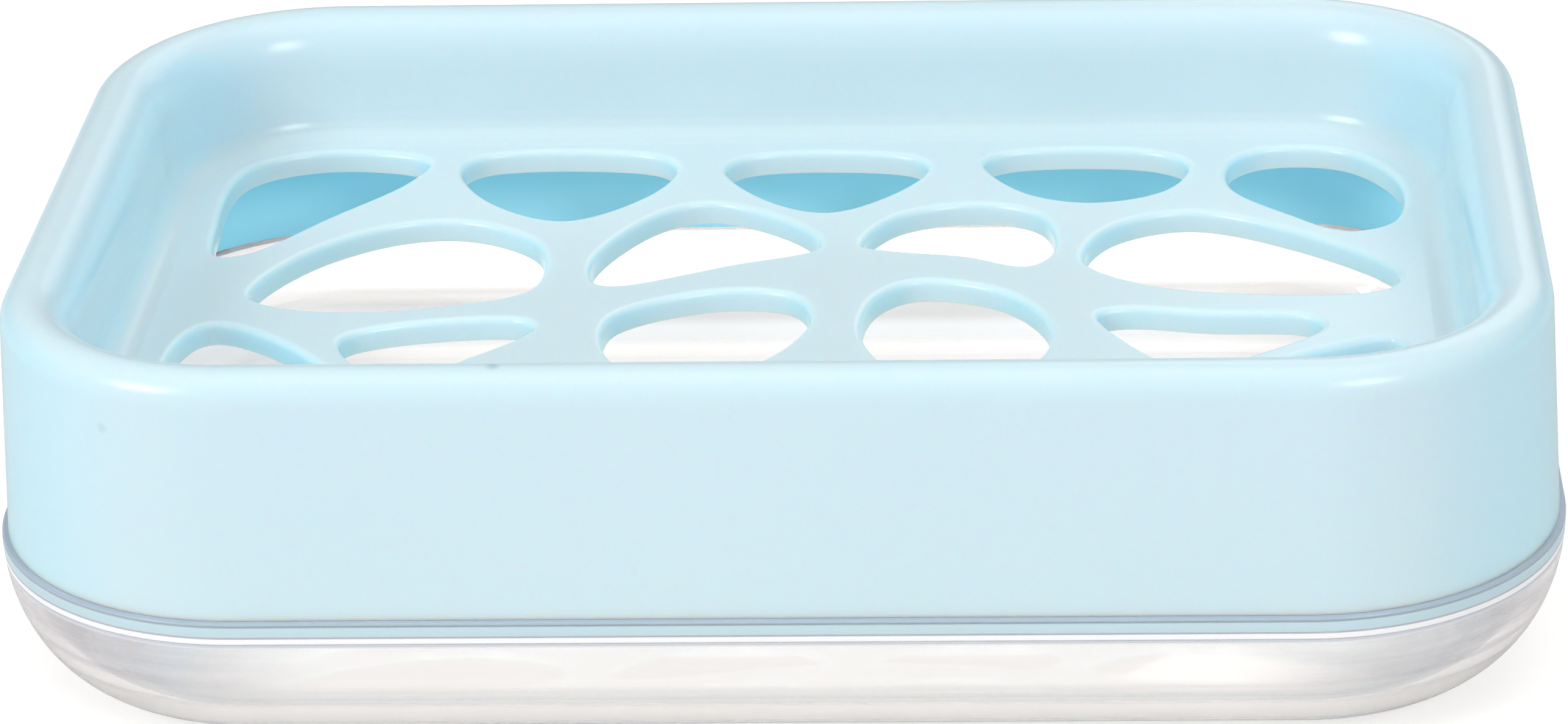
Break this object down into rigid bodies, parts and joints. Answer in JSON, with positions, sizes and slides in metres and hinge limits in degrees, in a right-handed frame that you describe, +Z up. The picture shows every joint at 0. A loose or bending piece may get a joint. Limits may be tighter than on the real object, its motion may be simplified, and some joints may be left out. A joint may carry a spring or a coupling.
{
  "type": "soap dish",
  "caption": "Low two-piece soap dish: a rounded blue tray with a rolled rim and pebble-shaped drain holes, seated in a clear drip tray that catches the water.",
  "frame": {"origin": "on the table, under the middle of the dish", "axes": "+X along the dish's length, +Y from the pictured front to the back, +Z up"},
  "size_m": [0.126, 0.086, 0.033],
  "materials": {
    "blue_plastic": "glossy moulded, light blue, opaque",
    "clear_plastic": "polished moulded, clear"
  },
  "bodies": {
    "drip_tray": {"drip_tray": "clear_plastic"},
    "soap_tray": {"soap_tray": "blue_plastic"}
  },
  "joints": [
    {"name": "tray_lift", "type": "slide", "parent": "drip_tray", "child": "soap_tray", "axis": [0, 0, 1], "range_m": [0, 0.04]}
  ]
}
